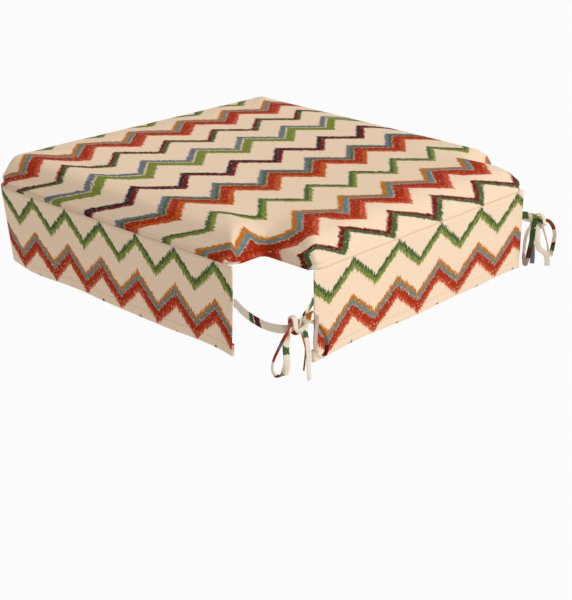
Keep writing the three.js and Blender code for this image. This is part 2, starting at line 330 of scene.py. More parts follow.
# On the hanging pieces a row's place is the drop below the seam.
HANGING_ROWS = [row(11.4, 21.4, TWO_GREEN), row(45.2, 66.4, FOUR_WARM), row(89.0, 97.0, TWO_WINE)]
TOP_TIP = 100.8 * MM
FLAP_TIP = 100.8 * MM
SIDE_PERIOD = 49.34 * MM
SIDE_TIP = 21.0 * MM

top_cloth = zigzag_finish("zigzag_cloth_top", TOP_ROWS, TOP_TIP, period, 29 * MM)
flap_cloth = zigzag_finish("zigzag_cloth_flap", HANGING_ROWS, FLAP_TIP, period, 23.5 * MM)
skirt_cloth = zigzag_finish("zigzag_cloth_skirt", HANGING_ROWS, SIDE_TIP, SIDE_PERIOD, 23.5 * MM)
flap_back = zigzag_finish("zigzag_reverse_flap", HANGING_ROWS, FLAP_TIP, period, 23.5 * MM, 0.55)
skirt_back = zigzag_finish("zigzag_reverse_skirt", HANGING_ROWS, SIDE_TIP, SIDE_PERIOD, 23.5 * MM, 0.55)
print("cloth finishes", [m.name for m in (top_cloth, flap_cloth, skirt_cloth)])


# %% [markdown]
# ## Plain finishes
# The lining and the sewing thread are plain cloth, woven from noise that is stretched along each thread.
# The foam is a field of small cells. All three lie on object coordinates and need no unwrapping.

# %% Plain finishes
def woven_finish(name, colour, dark, pitch):
    """A plain woven cloth in one colour, on the object's own coordinates."""
    finish = Finish(name)
    place = finish.add("ShaderNodeTexCoord", None, None, 3)
    x, y, z = finish.split(place)
    warp = finish.noise(x / pitch, y / (12 * pitch), z / (12 * pitch))
    weft = finish.noise(x / (12 * pitch), y / pitch, z / pitch)
    finish.colour(finish.mix((warp * weft * 1.6).clamped(), colour, dark))
    finish.bump(warp + weft, 0.15 * MM, 0.6)
    return finish.material


def foam_finish():
    finish = Finish("open_cell_foam", 0.95)
    place = finish.add("ShaderNodeTexCoord", None, None, 3)
    settings = {"feature": "F1"}
    cells = finish.add("ShaderNodeTexVoronoi", settings, {"Vector": place, "Scale": 900.0})
    finish.colour(finish.mix((cells * 0.8).clamped(), paint(238, 226, 176), paint(204, 186, 128)))
    finish.bump(cells, 0.4 * MM, 0.7)
    return finish.material


calico = woven_finish("calico_lining", paint(232, 224, 206), paint(206, 196, 174), 0.6 * MM)
thread = woven_finish("sewing_thread", paint(242, 216, 190), paint(206, 180, 152), 0.3 * MM)
foam = foam_finish()
print("plain finishes", calico.name, thread.name, foam.name)


# %% [markdown]
# ## From bmesh to a piece
# Every piece is a bmesh turned into an object at the origin. One helper does that, and a second one writes
# the place on the cloth, in metres, into a UV map, so that the pattern follows the cloth and not the room.

# %% Piece helpers
def make_piece(name, bm, materials, smooth=True):
    """A finished bmesh as an object at the origin, with its material slots."""
    for face in bm.faces:
        face.smooth = smooth
    mesh = bpy.data.meshes.new(name)
    bm.to_mesh(mesh)
    bm.free()
    for material in materials:
        mesh.materials.append(material)
    piece = bpy.data.objects.new(name, mesh)
    bpy.context.collection.objects.link(piece)
    print(name, len(mesh.vertices), "vertices", len(mesh.polygons), "faces")
    return piece


def set_uv(bm, place_of):
    """Fills the UV map `cloth`, in metres, from a function of the vertex."""
    layer = bm.loops.layers.uv.new("cloth")
    for face in bm.faces:
        for loop in face.loops:
            loop[layer].uv = place_of(loop.vert)


# %% [markdown]
# ## Ties
# Each tie is a strip of the same cloth, folded and stitched to a flat tape. A side tie leaves the skirt's
# end and runs round the post's outer face, a rear tie leaves the flap's edge, and the two are knotted in a
# bow. A tape is swept along its route ring by ring, so that it can turn on its flat side as real tape does,
# and a bridge joins each ring to the next. The routes repeat those of the solid ties.

# %% Tie routes
# A row is the tape's middle in millimetres, the direction of its width, and how much of the width is spread.
SIDE_TIE_ON_POST = [
    (186.3, 137.8, -32, 0, 0, 1, 1),
    (186.4, 140.4, -32.3, 0, 0, 1, 1),
    (186.6, 147, -35.6, 0, 0, 1, 1),
    (186.6, 156, -38.8, 0, 0, 1, 1),
    (186.6, 164.5, -40.6, 0, 0, 1, 1),
    (186.6, 172.5, -41.4, 0, 0, 1, 1),
    (186.6, 180.5, -41.2, 0, 0, 1, 1),
    (186.6, 187.5, -40.2, 0, 0, 1, 1),
    (186.5, 192.3, -39.2, 0, 0, 1, 1),
    (185.4, 195.8, -38.4, 0, 0, 1, 0.95),
]
SIDE_TIE_INTO_KNOT = [
    (182.2, 196.9, -37.2, 0, 0, 1, 0.7),
    (177, 196.9, -36.3, 0, 0, 1, 0.7),
    (173.9, 197.3, -35.7, 0, 0, 1, 0.7),
    (172.9, 198.2, -35.5, 0, 0, 1, 0.7),
    (173.9, 199.1, -35.5, 0, 0, 1, 0.7),
    (177, 199.2, -35.5, 0, 0, 1, 0.7),
    (182, 199.4, -35.5, 0, 0, 1, 0.7),
]
SIDE_TIE_LEFT_BOW = [
    (187.4, 201.2, -36, 0.2, 0.4, 0.9, 0.72),
    (193.2, 203.4, -37.8, 0.5, 0.8, 0.3, 0.8),
    (199.4, 204.6, -42.6, 0.5, 0.87, 0, 0.6),
    (205.4, 205.2, -48.6, 0.5, 0.87, 0, 0.5),
    (210.2, 205.4, -55, 0.5, 0.87, 0, 0.45),
    (211.4, 205.4, -61.8, 0.4, 0.9, 0.1, 0.5),
    (208.4, 205, -67.4, 0.1, 0.9, 0.4, 0.65),
    (203, 204.6, -71.2, -0.2, 0.8, 0.55, 0.8),
    (197.2, 204.4, -71.4, -0.5, 0.8, 0.3, 0.85),
    (193.8, 204.2, -66.6, -0.85, 0.5, 0, 0.85),
    (193.4, 204.2, -59.4, -1, 0.1, 0, 0.85),
    (194.6, 204.2, -51.4, -1, 0.1, 0, 0.85),
    (193.8, 203.9, -43.6, -0.9, 0.4, 0.3, 0.77),
    (188.4, 202.6, -37.6, -0.2, 0.2, 0.95, 0.75),
    (182, 201.4, -35.7, 0, 0, 1, 0.7),
    (177, 201.2, -36.2, 0, 0, 1, 0.7),
    (172.8, 201, -39.4, 0.7, 0, 0.7, 0.65),
    (171, 200.6, -44.8, 1, 0.1, 0, 0.6),
    (168.6, 200.2, -52.6, 0.85, 0.52, 0, 0.68),
    (166.8, 200, -60.6, 0.73, 0.68, 0, 0.75),
    (167.2, 200, -68.4, 0.73, 0.68, 0, 0.75),
    (168.8, 200, -78.8, 0.73, 0.68, 0, 0.75),
]
REAR_TIE_EXIT = [
    (150.7, 193, -25.8, 0, 0, 1, 1),
    (152.5, 193.8, -26, 0, 0.1, 1, 1),
    (155.2, 195.6, -26.4, 0, 0.2, 1, 1),
]
REAR_TIE_ACROSS_POST = [
    (160.6, 198.4, -26.8, 0.2, 0.3, 0.9, 0.95),
    (167.4, 201.4, -27.4, 0.4, 0.4, 0.8, 0.85),
]
REAR_TIE_ROUND_KNOT = [
    (173.4, 203.6, -29, 0.6, 0.2, 0.7, 0.75),
    (176.6, 204.6, -31.9, 0.85, 0, 0.5, 0.7),
    (177.6, 204.7, -36.3, 1, 0, 0, 0.7),
    (177.8, 204, -40.7, 1, 0, 0, 0.7),
    (178, 201.4, -43.4, 1, 0, 0, 0.7),
    (178.3, 198, -43.3, 1, 0, 0, 0.7),
    (178.7, 195.1, -40.4, 1, 0, 0, 0.7),
    (179.4, 195, -35.3, 1, 0, 0, 0.7),
    (180.2, 195.4, -30.3, 1, 0, 0, 0.7),
    (181.4, 198, -27.9, 1, 0, 0, 0.7),
    (182.8, 202, -27.6, 1, 0, 0, 0.7),
    (183.9, 204.6, -30.1, 1, 0, 0, 0.7),
    (184.2, 205.4, -34.3, 1, 0, 0, 0.7),
]
REAR_TIE_LEFT_BOW = [
    (183, 206.6, -37.9, 0.7, 0.1, 0.7, 0.75),
    (179.2, 207.6, -36.9, 0.2, 0.2, 0.95, 0.8),
    (176.2, 208.2, -31.9, -0.5, 0.3, 0.8, 0.85),
    (173.2, 208.6, -27, -0.6, 0.5, 0.6, 0.9),
    (168.6, 208.8, -24.6, 0, 0.9, 0.4, 0.5),
    (164.2, 209, -28, 0.8, -0.4, 0.4, 0.5),
    (163.8, 209.2, -36.6, 0.97, -0.25, 0, 0.5),
    (165.4, 209.4, -46, 0.97, -0.25, 0, 0.5),
    (166, 210, -55.6, 0.97, -0.25, 0, 0.5),
    (165, 211.6, -63.4, 0.7, -0.72, 0.1, 0.5),
    (160.6, 212.6, -66.4, 0.3, -0.9, 0.2, 0.5),
    (156, 212.6, -63.2, 0.1, -1, 0, 0.5),
    (154.6, 212.2, -56, 0.1, -1, 0, 0.5),
    (155.8, 211, -47.6, 0.1, -1, 0, 0.5),
    (159.2, 208.2, -40.4, 0.1, -0.9, -0.3, 0.45),
    (164.6, 205.6, -35.8, 0.2, -0.5, -0.85, 0.38),
    (170, 204.6, -34.6, 0.7, 0, -0.7, 0.56),
    (173.2, 205.4, -38.6, 1, -0.2, -0.2, 0.56),
    (173, 206.2, -46, 0.97, -0.25, 0, 0.56),
    (171.4, 206.6, -55, 0.97, -0.1, 0, 0.63),
    (170.8, 206.8, -65, 0.97, 0.1, 0, 0.7),
    (170.2, 206.8, -75, 0.97, 0.2, 0, 0.7),
    (169.6, 206.8, -85, 0.97, 0.2, 0, 0.7),
]
SIDE_TIE_RIGHT_BOW = [
    (-173.4, 201, -35.8, -0.1, 0.3, 0.95, 0.6),
    (-178.2, 203.2, -35.6, -0.3, 0.75, 0.6, 0.72),
    (-184.2, 204.4, -38.8, -0.2, 0.95, 0.3, 0.6),
    (-190.6, 204.6, -46, -0.1, 0.99, 0, 0.6),
    (-194.2, 204.6, -54, 0, 1, 0, 0.6),
    (-192.8, 204.6, -62.4, 0, 1, 0, 0.6),
    (-191, 204.6, -69.8, 0, 1, 0, 0.6),
    (-189.2, 204.6, -75.4, 0, 1, 0.2, 0.6),
    (-186, 204.6, -72.4, 0.1, 1, 0, 0.6),
    (-183.6, 204.6, -65.2, 0.6, 0.8, 0, 0.6),
    (-180.4, 204.2, -56.8, 0.68, 0.73, 0, 0.6),
    (-177.6, 203, -48.4, 0.6, 0.7, 0.3, 0.51),
    (-174.4, 201.8, -41, 0.4, 0.3, 0.85, 0.42),
    (-170, 201.3, -36.4, 0, 0, 1, 0.42),
    (-164.6, 201.2, -36, 0, 0, 1, 0.42),
    (-159.9, 199.8, -39.2, -0.7, 0, 0.7, 0.3),
    (-159.4, 198.6, -45, -1, 0.1, 0, 0.27),
    (-161, 198.8, -52.6, -0.8, 0.6, 0, 0.48),
    (-163.4, 199.4, -60, -0.7, 0.7, 0, 0.6),
    (-163.6, 200, -68.6, -0.68, 0.73, 0, 0.6),
    (-163.8, 200, -77.2, -0.68, 0.73, 0, 0.6),
]
REAR_TIE_RIGHT_BOW = [
    (-170.2, 206.6, -37.7, -0.7, 0.1, 0.7, 0.68),
    (-166.6, 207.4, -38.3, -0.2, 0.2, 0.95, 0.68),
    (-163.4, 207.2, -33.7, 0.5, 0.3, 0.8, 0.72),
    (-160.8, 206.2, -29.4, 0.5, 0.5, 0.65, 0.59),
    (-157.8, 205, -28.8, 0, 0.8, 0.55, 0.65),
    (-156.6, 203.6, -33.4, -0.5, 0.85, 0, 0.65),
    (-157, 202.6, -40.6, -0.6, 0.8, 0, 0.65),
    (-157.6, 202, -48, -0.6, 0.8, 0, 0.65),
    (-156.8, 201.4, -56, -0.6, 0.8, 0, 0.65),
    (-155.4, 200.8, -64, -0.4, 0.9, 0, 0.65),
    (-154.2, 199.8, -72, -0.2, 0.95, 0, 0.59),
    (-153.6, 198.4, -77, 0, 1, 0.3, 0.52),
    (-153.4, 196.6, -72.6, 0, 1, 0, 0.45),
    (-153.6, 196.2, -64, 0, 1, 0, 0.45),
    (-154, 196.2, -54, -0.1, 1, 0.1, 0.45),
    (-154.4, 197.4, -45, -0.1, 0.8, 0.5, 0.45),
    (-155.2, 200, -38, -0.4, 0.4, 0.85, 0.45),
    (-158, 203.4, -36.6, -0.6, 0.5, 0.6, 0.52),
    (-158.2, 207, -38.4, -0.9, 0.3, 0.3, 0.6),
    (-155.6, 209.2, -43.4, -0.75, 0.66, 0.1, 0.68),
    (-154.2, 210, -50, -0.7, 0.66, 0.3, 0.75),
    (-157.6, 210.2, -57, -0.4, 0.5, 0.8, 0.75),
    (-164.4, 210.2, -62, -0.4, 0.5, 0.8, 0.75),
    (-171, 210.2, -67, -0.7, 0.6, 0.5, 0.75),
    (-174.6, 210.2, -73, -0.75, 0.66, 0.1, 0.75),
    (-175.4, 210.2, -80, -0.75, 0.66, 0, 0.75),
]
RIGHT_KNOT_SHIFT = 13     # the right bow is knotted this much nearer the middle


def mirrored(route, shift=0):
    return [(shift - x, y, z, -wx, wy, wz, share) for x, y, z, wx, wy, wz, share in route]


left_side_route = SIDE_TIE_ON_POST + SIDE_TIE_INTO_KNOT + SIDE_TIE_LEFT_BOW
left_rear_route = REAR_TIE_EXIT + REAR_TIE_ACROSS_POST + REAR_TIE_ROUND_KNOT + REAR_TIE_LEFT_BOW
right_side_route = mirrored(SIDE_TIE_ON_POST) + mirrored(SIDE_TIE_INTO_KNOT, RIGHT_KNOT_SHIFT)
right_side_route += SIDE_TIE_RIGHT_BOW
right_rear_route = mirrored(REAR_TIE_EXIT) + mirrored(REAR_TIE_ROUND_KNOT, RIGHT_KNOT_SHIFT)
right_rear_route += REAR_TIE_RIGHT_BOW
print("tie routes", len(left_side_route), len(left_rear_route), len(right_side_route), len(right_rear_route))


# %% [markdown]
# ## Tape
# A bevelled curve would make a round cord, and its section couldn't turn. A ring of vertices, placed at
# each step of a smooth curve with its own direction and width, makes a flat tape that folds and narrows as
# it is tied.

# %% Tape sweep
def curve_through(points, spacing):
    """A centripetal Catmull-Rom curve as (point, row number) pairs about `spacing` apart."""
    ends = [2 * points[0] - points[1], *points, 2 * points[-1] - points[-2]]
    result = []
    for i in range(len(points) - 1):
        p0, p1, p2, p3 = ends[i:i + 4]
        t1 = math.sqrt((p1 - p0).length)
        t2 = t1 + math.sqrt((p2 - p1).length)
        t3 = t2 + math.sqrt((p3 - p2).length)
        steps = max(2, math.ceil((p2 - p1).length / spacing))
        for k in range(steps):
            t = t1 + (t2 - t1) * k / steps
            a1 = p0.lerp(p1, t / t1)
            a2 = p1.lerp(p2, (t - t1) / (t2 - t1))
            a3 = p2.lerp(p3, (t - t2) / (t3 - t2))
            b1 = a1.lerp(a2, t / t2)
            b2 = a2.lerp(a3, (t - t1) / (t3 - t1))
            result.append((b1.lerp(b2, (t - t1) / (t2 - t1)), i + k / steps))
    result.append((points[-1], len(points) - 1.0))
    return result


TAPE_WIDTH, TAPE_THICKNESS, RING = 7.5 * MM, 1.3 * MM, 14


def tape_ring(bm, place, across, normal, spread):
    """One cross-section: a flat oval with full edges, so that the tape looks folded and not like a wire."""
    ring = bmesh.ops.create_circle(bm, segments=RING, radius=1.0)["verts"]
    for vert in ring:
        x, y = vert.co.x, vert.co.y
        wide = math.copysign(abs(x) ** 0.75, x) * TAPE_WIDTH / 2 * spread
        thick = math.copysign(abs(y) ** 0.5, y) * TAPE_THICKNESS / 2
        vert.co = place + across * wide + normal * thick
    return ring


def sweep_tape(name, route, material):
    points = [Vector(row_[:3]) * MM for row_ in route]
    line = curve_through(points, 2.2 * MM)
    bm = bmesh.new()
    along_layer = bm.verts.layers.float.new("along")
    side_layer = bm.verts.layers.float.new("side")
    length, before, rings = 0.0, None, []
    for k, (place, row_number) in enumerate(line):
        after = line[min(k + 1, len(line) - 1)][0]
        along = (after - (before or place)).normalized()
        first = min(int(row_number), len(route) - 2)
        share = row_number - first
        low, high = route[first], route[first + 1]
        wish = Vector(low[3:6]).lerp(Vector(high[3:6]), share)
        across = (wish - along * wish.dot(along)).normalized()
        spread = low[6] + (high[6] - low[6]) * share
        ring = tape_ring(bm, place, across, along.cross(across), spread)
        length += (place - before).length if before else 0.0
        for vert in ring:
            vert[along_layer] = length
            vert[side_layer] = (vert.co - place).dot(across)
        rings.append(ring)
        before = place
    for lower, upper in zip(rings, rings[1:]):
        edges = {e for ring in (lower, upper) for v in ring for e in v.link_edges if e.other_vert(v) in ring}
        bmesh.ops.bridge_loops(bm, edges=list(edges))
    for ring in (rings[0], rings[-1]):
        bmesh.ops.contextual_create(bm, geom=ring)
    bmesh.ops.recalc_face_normals(bm, faces=bm.faces)
    set_uv(bm, lambda vert: (vert[along_layer], vert[side_layer]))
    piece = make_piece(name, bm, [material])
    return piece, [place for place, _ in line], length


def tie_finish(name, patches, length):
    """Tape cut across the zigzag, so its colours come in patches along it: (end in metres, colour). The
    darker creams among them are painted shade where the tape lies in shadow.
    """
    finish = Finish(name)
    place = finish.add("ShaderNodeUVMap", {"uv_map": "cloth"})
    along, side, _ = finish.split(place)
    ragged = finish.noise(side / (0.9 * MM), along / (6 * MM), detail=1.0)
    level = along + side * 0.45 + (ragged - 0.5) * (5 * MM)
    stops, start = [], 0.0
    for end, colour in patches:
        stops.append((start / length, colour))
        start = end * MM
    colours = finish.add("ShaderNodeValToRGB", {"stops": stops}, {"Fac": level / length})
    speck = finish.noise(along / (1.2 * MM), side / (1.2 * MM), 5.0)
    colours = finish.mix((speck - 0.5).clamped() * 0.8, colours, paint(176, 156, 128))
    finish.colour(colours)
    finish.bump(finish.ribs(along, 1.1 * MM) * 0.5 + speck, 0.15 * MM, 0.5)
    return finish.material


PALE = paint(238, 222, 200)
# The second cream is the tape's cream painted darker, as painted shade where the tape faces away from the
# lamp.
PAINTED_SHADE_CREAM = paint(214, 198, 178)
LEFT_SIDE_PATCHES = [
    (19, PALE), (24, LEAF), (25.5, PALE), (30, WINE), (32, NAVY), (58, PALE), (84, PAINTED_SHADE_CREAM),
    (97, CORAL), (104, RUST),
    (111, SLATE), (121, RUST), (134, PALE), (139, WINE), (145, OLIVE), (163, PALE), (170, LEAF),
    (192, PALE), (208, PAINTED_SHADE_CREAM), (224, OCHRE), (300, paint(120, 84, 40)),
]
# paint(196, 178, 164) below is the tape's cream painted darker: painted shade on a strand of the bow's loop.
LEFT_REAR_PATCHES = [
    (8, LEAF), (15, OLIVE), (22, PALE), (27, NAVY), (40, PALE), (60, CORAL), (84, PALE), (94, PALE),
    (102, OCHRE), (108, PALE), (140, paint(196, 178, 164)), (150, PALE), (161, WINE), (168, TEAL),
    (186, OCHRE),
    (200, PALE), (206, LEAF), (320, PALE),
]
RIGHT_SIDE_PATCHES = [
    (58, PALE), (92, PAINTED_SHADE_CREAM), (100, PALE), (112, RUST), (117, LEAF), (124, RUST), (138, PALE), (143, WINE),
    (148, LEAF), (190, PALE), (206, PAINTED_SHADE_CREAM), (222, OCHRE), (300, SLATE),
]
# paint(178, 156, 146) below is the tape's cream painted darker: painted shade on the bow's inner loop.
RIGHT_REAR_PATCHES = [
    (6, LEAF), (10, PALE), (20, OLIVE), (70, PALE), (80, PAINTED_SHADE_CREAM), (118, LEAF), (130, paint(86, 40, 20)),
    (150, paint(178, 156, 146)), (166, PALE), (320, PALE),
]

TIES = [
    ("left_side_tie", left_side_route, LEFT_SIDE_PATCHES, "tie_left_side"),
    ("left_rear_tie", left_rear_route, LEFT_REAR_PATCHES, "tie_left_rear"),
    ("right_side_tie", right_side_route, RIGHT_SIDE_PATCHES, "tie_right_side"),
    ("right_rear_tie", right_rear_route, RIGHT_REAR_PATCHES, "tie_right_rear"),
]
ties = {}
for name, route, patches, node in TIES:
    rough = sum((Vector(b[:3]) - Vector(a[:3])).length for a, b in zip(route, route[1:])) * MM
    finish = tie_finish(name + "_cloth", patches, rough * 1.05)
    tie, path, tie_length = sweep_tape(name, route, finish)
    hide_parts(node)
    exit_point = path[0]
    if "rear" in name:
        side = 1 if exit_point.x > 0 else -1
        reach = 7.8 * MM if side > 0 else 4.2 * MM
        end = exit_point + Vector((side * reach, reach, 0))
        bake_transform(tie)
    else:
        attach(tie, "pad")
    ties[name] = tie
    print(name, "is", round(tie_length, 3), "m")

# %% [markdown]
# ## Outline
# The cover is cut to one outline: straight sides, two rounded front corners and two square notches for the
# posts. Arcs are worked out, and the left half mirrors the right.


# %% Outline
def arc(cx, cy, radius, start, sweep, steps):
    angles = [start + sweep * i / steps for i in range(steps + 1)]
    return [Vector((cx + radius * math.cos(a), cy + radius * math.sin(a), 0)) for a in angles]


def half_outline(inset):
    quarter = math.pi / 2
    front = front_corner - inset
    outer = notch_corner - inset
    inner = notch_corner + inset
    x, y = side_x - inset, rear_y - inset
    nx, ny = notch_x - inset, notch_y - inset
    return [
        *arc(x - front, -y + front, front, -quarter, quarter, 8),
        *arc(x - outer, ny - outer, outer, 0, quarter, 4),
        *arc(nx + inner, ny + inner, inner, -quarter, -quarter, 4),
        *arc(nx - outer, y - outer, outer, 0, quarter, 4),
    ]


def outline(inset):
    right = half_outline(inset)
    return right + [Vector((-p.x, p.y, 0)) for p in reversed(right)]


seam_line = outline(0)


def nearest_on_seam(point):
    """The seam's nearest point, seen from above, and the outward direction there."""
    best = None
    for start, end in zip(seam_line, seam_line[1:] + seam_line[:1]):
        run = end - start
        share = max(0.0, min(1.0, (point - start).dot(run) / run.length_squared))
        near = start + run * share
        gap = (near - point).length_squared
        if best is None or gap < best[0]:
            best = (gap, near, Vector((run.y, -run.x, 0)).normalized())
    gap, near, square = best
    away = near - point
    inside = away.dot(square) > 0
    if inside and away.length > 0.5 * MM:
        square = away.normalized()
    return near, square, math.sqrt(gap) if inside else 0.0


print("seam line has", len(seam_line), "points")

# %% [markdown]
# ## Foam and cover
# The foam is a slab with a rounded upper edge. The cover is sewn a little small and the foam pushes it out,
# so the cover starts as the solid foam, is remeshed to even quads and is blown up by a cloth simulation
# with its underside pinned, which rounds it as stuffing does. Its movement is capped. What lies under the
# seam is cut away, and the rim is drawn down and out to the seam.


# %% Foam block
def remeshed(source, name, voxel):
    mesh = source.data.copy()
    mesh.materials.clear()
    piece = bpy.data.objects.new(name, mesh)
    bpy.context.collection.objects.link(piece)
    bm = bmesh.new()
    bm.from_mesh(mesh)
    bmesh.ops.remove_doubles(bm, verts=bm.verts, dist=0.01 * MM)
    bm.to_mesh(mesh)
    bm.free()
    modifier = piece.modifiers.new("even_quads", "REMESH")
    modifier.mode = "VOXEL"
    modifier.voxel_size = voxel
    evaluated = piece.evaluated_get(bpy.context.evaluated_depsgraph_get())
    even = bpy.data.meshes.new_from_object(evaluated)
    piece.modifiers.clear()
    piece.data = even
    return piece


blank = remeshed(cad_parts["foam_core"], "cover_blank", 5 * MM)
print("blank", len(blank.data.vertices), "vertices")


# %% [markdown]
# ## Fullness
# Pressure from inside pushes the blank out, as stuffing does. A modelled curve would look turned on a
# lathe, but the simulated one pulls in at the notches. Then the top is levelled, and the low sides are
# drawn to the seam.

# %% Blow the cover up
def blow_up(piece, pressure, cap):
    """Cloth simulation with the underside pinned. The result is kept in the mesh, moved by `cap` at most."""
    rest = [v.co.copy() for v in piece.data.vertices]
    pinned = piece.vertex_groups.new(name="underside")
    pinned.add([i for i, co in enumerate(rest) if co.z < 5 * MM], 1.0, "REPLACE")
    modifier = piece.modifiers.new("cloth", "CLOTH")
    settings = modifier.settings
    settings.vertex_group_mass = "underside"
    settings.use_pressure = True
    settings.uniform_pressure_force = pressure
    settings.effector_weights.gravity = 0
    settings.quality = 5
    modifier.collision_settings.use_collision = False
    scene = bpy.context.scene
    for step in range(1, 21):
        scene.frame_set(step)
    evaluated = piece.evaluated_get(bpy.context.evaluated_depsgraph_get())
    moved = [v.co.copy() for v in evaluated.to_mesh().vertices]
    evaluated.to_mesh_clear()
    piece.modifiers.clear()
    piece.vertex_groups.clear()
    scene.frame_set(1)
    for vert, old, new in zip(piece.data.vertices, rest, moved):
        shift = new - old
        if shift.length > cap:
            shift *= cap / shift.length
        vert.co = old + shift


blow_up(blank, 4.0, 2.5 * MM)
# The top is nearly flat between its rolled edges, and the foam is a little thicker towards the front.
for vert in blank.data.vertices:
    level = max(vert.co.z, 0) / (25 * MM)
    level = 1.08 * level / (1 + level ** 6) ** (1 / 6)
    if vert.co.z > 0:
        vert.co.z = level * (29.3 * MM - 3.0 * MM * vert.co.y / rear_y + 1.3 * MM * vert.co.x / side_x)
# Low on its sides the cover reaches the seam, flush with the cloth that hangs from it.
for vert in blank.data.vertices:
    near, out, inset = nearest_on_seam(Vector((vert.co.x, vert.co.y, 0)))
    low_share = max(0.0, 1 - vert.co.z / (18 * MM))
    if inset < 14 * MM and low_share > 0:
        vert.co += out * min(inset - 0.3 * MM, 2.2 * MM * low_share)
heights = [v.co.z for v in blank.data.vertices]
print("cover rises to", round(max(heights), 4))

# %% [markdown]
# ## Cover
# The cover was cut from flat printed cloth, so each point is first unrolled from the rounded edge,
# and then moved by a smooth drift. Wrapping the pattern by projection from above would stretch it down the
# sides.

# %% Cover
ROLL_ARC = math.pi / 4 * (roll_inset + roll_height)


def unrolled(point):
    """Where a point of the cover was on the flat cloth before it was drawn down over the edge."""
    near, out, inset = nearest_on_seam(Vector((point.x, point.y, 0)))
    if inset >= roll_inset:
        return point.x, point.y
    turn = math.atan2(max(point.z, 0) / roll_height, 1 - inset / roll_inset)
    flat = near - out * (roll_inset - ROLL_ARC * (1 - turn / (math.pi / 2)))
    return flat.x, flat.y


# The cloth's drift from its straight place, in millimetres, as the cutter's hand and the tight roll leave it.
DRIFT_ACROSS = (
    -4.51, -1.66, -3.97, 2.88, 0.52, -1.57, 2.46, 23.94, -0.68, 14.64, 37.23, -5.93, -7.09, 1.04, -5.09,
)
DRIFT_ALONG = (
    -22.35, 1.82, 5.66, -1.52, 1.79, 0.23, -2.06, 36.93, 8.36, 7.8, 13.6, 1.48, -9.41, 1.49, 1.48,
)


def past(value, start):
    return max(0.0, value - start) / 50


def cloth_place(point):
    """The place on the printed repeat that lies over a point of the cover."""
    across, along = unrolled(point)
    u = max(-160, min(210, across / MM))
    v = max(-190, min(210, along / MM))
    terms = (
        1, u / 100, v / 100, u * v / 1e4, u * u / 1e4, v * v / 1e4,
        past(u, 100), past(u, 150), past(u, 170), past(v, 140), past(v, 172), past(v, 172) * u / 100,
        past(u, 170) * v / 100, past(u, 100) * v / 100, past(v, 140) * u / 100,
    )
    drift_across = sum(weight * term for weight, term in zip(DRIFT_ACROSS, terms))
    drift_along = sum(weight * term for weight, term in zip(DRIFT_ALONG, terms))
    return across + drift_across * MM, along + drift_along * MM


def make_cover():
    bm = bmesh.new()
    bm.from_mesh(blank.data)
    geometry = bm.verts[:] + bm.edges[:] + bm.faces[:]
    bmesh.ops.bisect_plane(bm, geom=geometry, plane_co=(0, 0, 4 * MM), plane_no=(0, 0, -1), clear_outer=True)
    rim = [e for e in bm.edges if e.is_boundary]
    drawn = bmesh.ops.extrude_edge_only(bm, edges=rim)["geom"]
    for vert in [g for g in drawn if isinstance(g, bmesh.types.BMVert)]:
        near, out, _ = nearest_on_seam(Vector((vert.co.x, vert.co.y, 0)))
        vert.co = near - out * (0.3 * MM) + Vector((0, 0, -0.2 * MM))
    set_uv(bm, lambda vert: cloth_place(vert.co))
    return make_piece("cover_top", bm, [top_cloth, calico])


cover = make_cover()
smooth = cover.modifiers.new("smooth", "SUBSURF")
smooth.levels = smooth.render_levels = 1
thick = cover.modifiers.new("cloth_thickness", "SOLIDIFY")
thick.thickness = cloth
thick.offset = -1
thick.material_offset = 1
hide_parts("top_panel")
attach(cover, "pad")


# %% [markdown]
# ## Foam
# Behind the cover is a block of open-cell foam. It is the same blank, drawn in from the sides and pressed
# flatter, so that it fits inside the cloth on every side and shows nothing through it.

# %% Foam inside the cover
FOAM_EASE = 3.5 * MM          # how far the foam stays inside the cover's sides
FOAM_MIDDLE = 12 * MM         # the height towards which it is pressed flat
FOAM_SHARE = 0.72


def make_foam():
    bm = bmesh.new()
    bm.from_mesh(blank.data)
    for vert in bm.verts:
        _, out, inset = nearest_on_seam(Vector((vert.co.x, vert.co.y, 0)))
        if inset < 40 * MM:
            vert.co -= out * FOAM_EASE
        vert.co.z = FOAM_MIDDLE + (vert.co.z - FOAM_MIDDLE) * FOAM_SHARE
    return make_piece("foam_block", bm, [foam])


foam_block = make_foam()
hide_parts("foam_core")
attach(foam_block, "pad")
bpy.data.objects.remove(blank)

# %% [markdown]
# ## Lining
# A flat panel of calico closes the cover from below. It is cut to the outline less the seam allowance, with
# a turned edge that shows from below as a raised band.


# %% Lining
def make_lining():
    bm = bmesh.new()
    corners = [bm.verts.new(p + Vector((0, 0, 1.2 * MM))) for p in outline(1.6 * MM)]
    panel = bm.faces.new(corners)
    lower = bmesh.ops.extrude_face_region(bm, geom=[panel])["geom"]
    verts = [g for g in lower if isinstance(g, bmesh.types.BMVert)]
    bmesh.ops.translate(bm, verts=verts, vec=(0, 0, -1.0 * MM))
    face = next(g for g in lower if isinstance(g, bmesh.types.BMFace))
    bmesh.ops.inset_region(bm, faces=[face], thickness=3 * MM, depth=0, use_even_offset=True)
    bmesh.ops.inset_region(bm, faces=[face], thickness=0.6 * MM, depth=-0.5 * MM, use_even_offset=True)
    bmesh.ops.recalc_face_normals(bm, faces=bm.faces)
    return make_piece("lining", bm, [calico], smooth=False)


lining = make_lining()
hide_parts("lining_panel")
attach(lining, "pad")


# %% [markdown]
# ## Skirt and flap
# Both are strips of cloth that hang from the seam, with the lower edge and the two ends folded inwards and
# stitched. A grid of quads is laid out flat, one column of vertices for each place along the seam and one
# row for each drop below it. The last rows and columns turn back inwards for the folds, and the grid is
# then bent round the pad and given the slow waves of hanging cloth.


# %% Hanging cloth
SHEET = 1.0 * MM      # thickness of one layer
LAYER = 1.35 * MM     # from one layer of a fold to the next
TURN = [(0.8 * MM, 1.0), (0.3 * MM, 0.85), (0.0, 0.5), (0.3 * MM, 0.15), (0.8 * MM, 0.0)]


